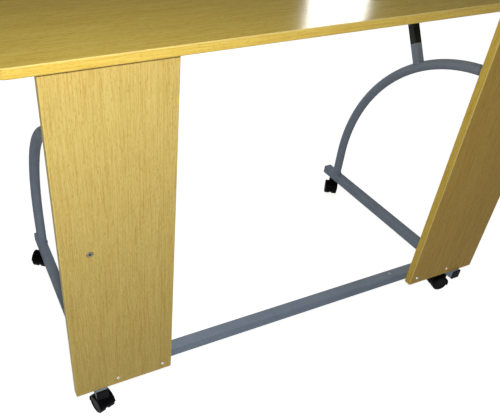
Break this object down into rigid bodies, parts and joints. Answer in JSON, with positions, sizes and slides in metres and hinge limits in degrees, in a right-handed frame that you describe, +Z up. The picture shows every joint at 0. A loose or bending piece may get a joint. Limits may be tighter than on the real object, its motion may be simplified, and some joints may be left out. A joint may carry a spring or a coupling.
{
  "type": "sewing table on casters",
  "caption": "Sewing table with a rectangular wood-laminate top on twin front panels and arched steel side frames, joined by a low crossbar and rolling on swivelling twin-wheel casters.",
  "frame": {"origin": "on the floor under the middle of the tabletop", "axes": "+X to the sitter's right along the long side of the top, +Y from the sitter towards the back, +Z up"},
  "size_m": [1.2, 0.6, 0.79],
  "materials": {
    "wood_laminate": "satin beech laminate",
    "edge_band": "satin plastic band printed like beech",
    "frame_paint": "satin blue-grey powder coat",
    "black_paint": "satin black powder coat",
    "black_plastic": "fine-grained black moulding",
    "wheel_plastic": "hard black nylon",
    "zinc_steel": "bright zinc plate",
    "dowel_wood": "plain beech"
  },
  "bodies": {
    "table": {"tabletop_board": "wood_laminate", "tabletop_edge_band": "edge_band", "left_panel": "wood_laminate", "left_panel_inner_edge_band": "edge_band", "left_panel_outer_edge_band": "edge_band", "right_panel": "wood_laminate", "right_panel_inner_edge_band": "edge_band", "right_panel_outer_edge_band": "edge_band", "left_base_bar": "frame_paint", "left_front_end_cap": "black_plastic", "left_rear_end_cap": "black_plastic", "left_arch": "frame_paint", "left_post_socket": "frame_paint", "left_post": "black_paint", "left_post_plate": "black_paint", "right_base_bar": "frame_paint", "right_front_end_cap": "black_plastic", "right_rear_end_cap": "black_plastic", "right_arch": "frame_paint", "right_post_socket": "frame_paint", "right_post": "black_paint", "right_post_plate": "black_paint", "crossbar": "frame_paint", "crossbar_nuts": "zinc_steel", "crossbar_bolts": "zinc_steel", "panel_bolts": "zinc_steel", "panel_bolt_inserts": "zinc_steel", "panel_screws": "zinc_steel", "plate_screws": "zinc_steel", "crossbar_screw": "zinc_steel", "cam_pins": "zinc_steel", "caster_nuts": "zinc_steel", "cam_locks": "zinc_steel", "panel_dowels": "dowel_wood", "front_left_caster_stem": "zinc_steel", "front_right_caster_stem": "zinc_steel", "rear_left_caster_stem": "zinc_steel", "rear_right_caster_stem": "zinc_steel"},
    "front_left_swivel": {"front_left_caster_hood": "black_plastic", "front_left_caster_axle": "zinc_steel"},
    "front_left_left_wheel": {"front_left_caster_left_wheel": "wheel_plastic"},
    "front_left_right_wheel": {"front_left_caster_right_wheel": "wheel_plastic"},
    "front_right_swivel": {"front_right_caster_hood": "black_plastic", "front_right_caster_axle": "zinc_steel"},
    "front_right_left_wheel": {"front_right_caster_left_wheel": "wheel_plastic"},
    "front_right_right_wheel": {"front_right_caster_right_wheel": "wheel_plastic"},
    "rear_left_swivel": {"rear_left_caster_hood": "black_plastic", "rear_left_caster_axle": "zinc_steel"},
    "rear_left_left_wheel": {"rear_left_caster_left_wheel": "wheel_plastic"},
    "rear_left_right_wheel": {"rear_left_caster_right_wheel": "wheel_plastic"},
    "rear_right_swivel": {"rear_right_caster_hood": "black_plastic", "rear_right_caster_axle": "zinc_steel"},
    "rear_right_left_wheel": {"rear_right_caster_left_wheel": "wheel_plastic"},
    "rear_right_right_wheel": {"rear_right_caster_right_wheel": "wheel_plastic"}
  },
  "joints": [
    {"name": "front_left_swivel_turn", "type": "hinge", "parent": "table", "child": "front_left_swivel", "pos_m": [-0.4905, -0.258, 0.0377], "axis": [0, 0, 1], "continuous": true},
    {"name": "front_left_left_wheel_roll", "type": "hinge", "parent": "front_left_swivel", "child": "front_left_left_wheel", "pos_m": [-0.48636, -0.27242, 0.02], "axis": [0.9613, 0.2756, 0], "continuous": true},
    {"name": "front_left_right_wheel_roll", "type": "hinge", "parent": "front_left_swivel", "child": "front_left_right_wheel", "pos_m": [-0.48636, -0.27242, 0.02], "axis": [0.9613, 0.2756, 0], "continuous": true},
    {"name": "front_right_swivel_turn", "type": "hinge", "parent": "table", "child": "front_right_swivel", "pos_m": [0.4905, -0.258, 0.0377], "axis": [0, 0, 1], "continuous": true},
    {"name": "front_right_left_wheel_roll", "type": "hinge", "parent": "front_right_swivel", "child": "front_right_left_wheel", "pos_m": [0.47583, -0.25488, 0.02], "axis": [-0.2079, -0.9781, 0], "continuous": true},
    {"name": "front_right_right_wheel_roll", "type": "hinge", "parent": "front_right_swivel", "child": "front_right_right_wheel", "pos_m": [0.47583, -0.25488, 0.02], "axis": [-0.2079, -0.9781, 0], "continuous": true},
    {"name": "rear_left_swivel_turn", "type": "hinge", "parent": "table", "child": "rear_left_swivel", "pos_m": [-0.4905, 0.249, 0.0377], "axis": [0, 0, 1], "continuous": true},
    {"name": "rear_left_left_wheel_roll", "type": "hinge", "parent": "rear_left_swivel", "child": "rear_left_left_wheel", "pos_m": [-0.49932, 0.23686, 0.02], "axis": [0.809, -0.5878, 0], "continuous": true},
    {"name": "rear_left_right_wheel_roll", "type": "hinge", "parent": "rear_left_swivel", "child": "rear_left_right_wheel", "pos_m": [-0.49932, 0.23686, 0.02], "axis": [0.809, -0.5878, 0], "continuous": true},
    {"name": "rear_right_swivel_turn", "type": "hinge", "parent": "table", "child": "rear_right_swivel", "pos_m": [0.4905, 0.249, 0.0377], "axis": [0, 0, 1], "continuous": true},
    {"name": "rear_right_left_wheel_roll", "type": "hinge", "parent": "rear_right_swivel", "child": "rear_right_left_wheel", "pos_m": [0.48168, 0.23686, 0.02], "axis": [0.809, -0.5878, 0], "continuous": true},
    {"name": "rear_right_right_wheel_roll", "type": "hinge", "parent": "rear_right_swivel", "child": "rear_right_right_wheel", "pos_m": [0.48168, 0.23686, 0.02], "axis": [0.809, -0.5878, 0], "continuous": true}
  ]
}
